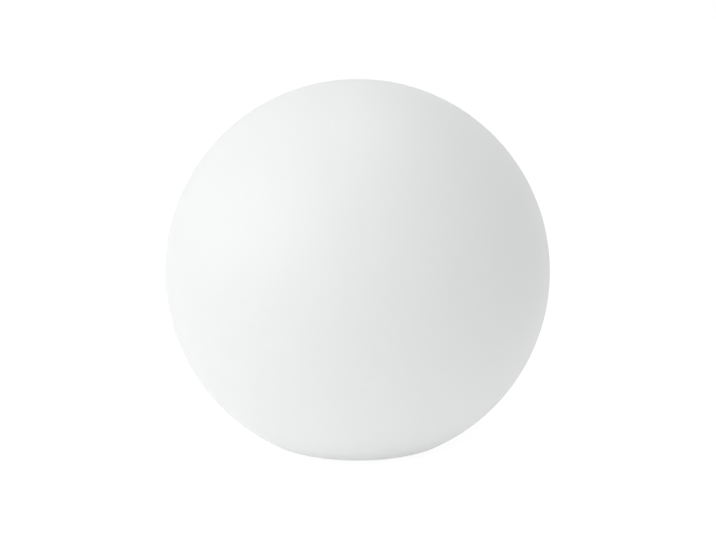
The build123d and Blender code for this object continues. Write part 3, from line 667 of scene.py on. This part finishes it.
def add_camera():
    """A camera at the photograph's viewing angle and framing."""
    distance = VIEW_DISTANCE_IN_RADII * BALL_RADIUS
    focal_pixels = BALL_PIXEL_RADIUS / math.tan(math.asin(1 / VIEW_DISTANCE_IN_RADII))
    back = Vector((0, -math.cos(VIEW_ELEVATION), math.sin(VIEW_ELEVATION)))
    up = Vector((0, math.sin(VIEW_ELEVATION), math.cos(VIEW_ELEVATION)))
    right = Vector((1, 0, 0))
    metres_per_pixel = distance / focal_pixels
    across = (IMAGE_WIDTH / 2 - BALL_PIXEL_X) * metres_per_pixel
    above = (BALL_PIXEL_Y - IMAGE_HEIGHT / 2) * metres_per_pixel
    data = bpy.data.cameras.new("camera")
    data.sensor_width = SENSOR_WIDTH_MM
    data.lens = SENSOR_WIDTH_MM * focal_pixels / IMAGE_WIDTH
    camera = bpy.data.objects.new("camera", data)
    bpy.context.scene.collection.objects.link(camera)
    camera.location = BALL_CENTRE + back * distance
    aim = BALL_CENTRE + right * across + up * above
    camera.rotation_euler = (aim - camera.location).to_track_quat("-Z", "Y").to_euler()
    bpy.context.scene.camera = camera


def seen_directly(tree):
    """1 for camera, mirror and glass rays, 0 for the rays that carry soft light."""
    path = add_node(tree, "ShaderNodeLightPath").outputs
    mirrored = math_node(tree, "MAXIMUM", path["Is Camera Ray"], path["Is Glossy Ray"])
    return math_node(tree, "MAXIMUM", mirrored, path["Is Transmission Ray"])


def glowing_white(tree, albedo, strength):
    """A white diffuse surface with an even glow."""
    diffuse = add_node(tree, "ShaderNodeBsdfDiffuse", {"Color": (albedo, albedo, albedo, 1)})
    glow = add_node(tree, "ShaderNodeEmission", {"Color": (1, 1, 1, 1), "Strength": strength})
    return add_node(tree, "ShaderNodeAddShader", {0: diffuse.outputs[0], 1: glow.outputs[0]}).outputs[0]


def add_floor():
    """A white floor that keeps the object's soft shadow, and is clear when seen from below."""
    half = FLOOR_SIZE / 2
    corners = [(-half, -half, 0), (half, -half, 0), (half, half, 0), (-half, half, 0)]
    mesh = bpy.data.meshes.new("floor")
    mesh.from_pydata(corners, [], [(0, 1, 2, 3)])
    floor = bpy.data.objects.new("floor", mesh)
    bpy.context.scene.collection.objects.link(floor)
    made, tree, main = new_material("floor_white")
    tree.nodes.remove(main)
    lighting = glowing_white(tree, FLOOR_BOUNCE, FLOOR_FILL)
    shown = glowing_white(tree, FLOOR_SHADOW, FLOOR_GLOW)
    above = add_node(tree, "ShaderNodeMixShader", {0: seen_directly(tree), 1: lighting, 2: shown})
    below = add_node(tree, "ShaderNodeBsdfTransparent").outputs[0]
    from_below = add_node(tree, "ShaderNodeNewGeometry").outputs["Backfacing"]
    both = add_node(tree, "ShaderNodeMixShader", {0: from_below, 1: above.outputs[0], 2: below})
    tree.links.new(both.outputs[0], tree.nodes["Material Output"].inputs["Surface"])
    mesh.materials.append(made)


def add_world():
    """Soft studio surround, brighter in front and on the left; plain white where it is seen directly."""
    world = bpy.data.worlds.new("studio")
    bpy.context.scene.world = world
    world.use_nodes = True
    tree = world.node_tree
    soft = tree.nodes["Background"]
    direction = add_node(tree, "ShaderNodeTexCoord").outputs["Generated"]
    slope = add_node(tree, "ShaderNodeVectorMath", {0: direction, 1: WORLD_TILT}, operation="DOT_PRODUCT")
    level = math_node(tree, "ADD", slope.outputs["Value"], WORLD_LEVEL)
    tree.links.new(level, soft.inputs["Strength"])
    soft.inputs["Color"].default_value = (1, 1, 1, 1)
    white = add_node(tree, "ShaderNodeBackground", {"Color": (1, 1, 1, 1), "Strength": 1.0})
    factors = {0: seen_directly(tree), 1: soft.outputs[0], 2: white.outputs[0]}
    mix = add_node(tree, "ShaderNodeMixShader", factors)
    tree.links.new(mix.outputs[0], tree.nodes["World Output"].inputs["Surface"])


def add_lamp(name, azimuth, elevation, size, watts):
    """A square soft lamp, turned to the ball."""
    data = bpy.data.lights.new(name, "AREA")
    data.size = size
    data.energy = watts
    lamp = bpy.data.objects.new(name, data)
    bpy.context.scene.collection.objects.link(lamp)
    level = math.cos(elevation)
    towards = Vector((level * math.sin(azimuth), -level * math.cos(azimuth), math.sin(elevation)))
    lamp.location = BALL_CENTRE + LAMP_DISTANCE * towards
    lamp.rotation_euler = (-towards).to_track_quat("-Z", "Y").to_euler()


bpy.context.scene.view_settings.view_transform = "Standard"
add_camera()
add_floor()
add_world()
for name, setting in LAMPS.items():
    add_lamp(name, **setting)

# CAD nodes
finishes = slot_finishes()
for entry in frame["record"]["subparts"]:
    mesh = nodes[entry["node"]].data
    mesh.materials.clear()
    mesh.materials.append(finishes[entry["material_slot"]])
nodes["light_pipe"].data.materials[0] = frosted_finish()

# Globe
globe = add_piece("globe_moulding", globe_mesh(), "globe", finishes["globe_plastic"])
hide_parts("ball_shell")

# Thread
neck_ridge = helix_ridge("neck_thread", NECK_RADIUS, direction=1, start_turn=0.0)
add_piece("neck_thread", neck_ridge, "base_unit", finishes["unit_plastic"])
collar_ridge = helix_ridge("collar_thread", COLLAR_BORE, direction=-1, start_turn=0.5)
add_piece("collar_thread", collar_ridge, "globe", finishes["unit_plastic"])

# Button and jack
mark_paint = moulded("mark_plastic", colour=(0.3, 0.31, 0.32), roughness=0.4)
add_piece("power_mark", power_mark(), "button", mark_paint)
add_piece("jack_pin", jack_pin(), "base_unit", finishes["nickel"])

# LED board
terminals = blocks("led_terminals", TERMINAL_SIZE, terminal_places(), TERMINAL_BEVEL)
add_piece("led_terminals", terminals, "base_unit", finishes["nickel"])
resistors = blocks("led_resistors", RESISTOR_SIZE, resistor_places(0.0), RESISTOR_BEVEL)
add_piece("led_resistors", resistors, "base_unit", finishes["black_plastic"])
cap_size = Vector((CAP_LENGTH, RESISTOR_SIZE.y + CAP_PROUD, RESISTOR_SIZE.z + CAP_PROUD))
cap_offset = RESISTOR_SIZE.x / 2
cap_places = resistor_places(-cap_offset) + resistor_places(cap_offset)
caps = blocks("resistor_caps", cap_size, cap_places, CAP_BEVEL)
add_piece("resistor_caps", caps, "base_unit", finishes["nickel"])
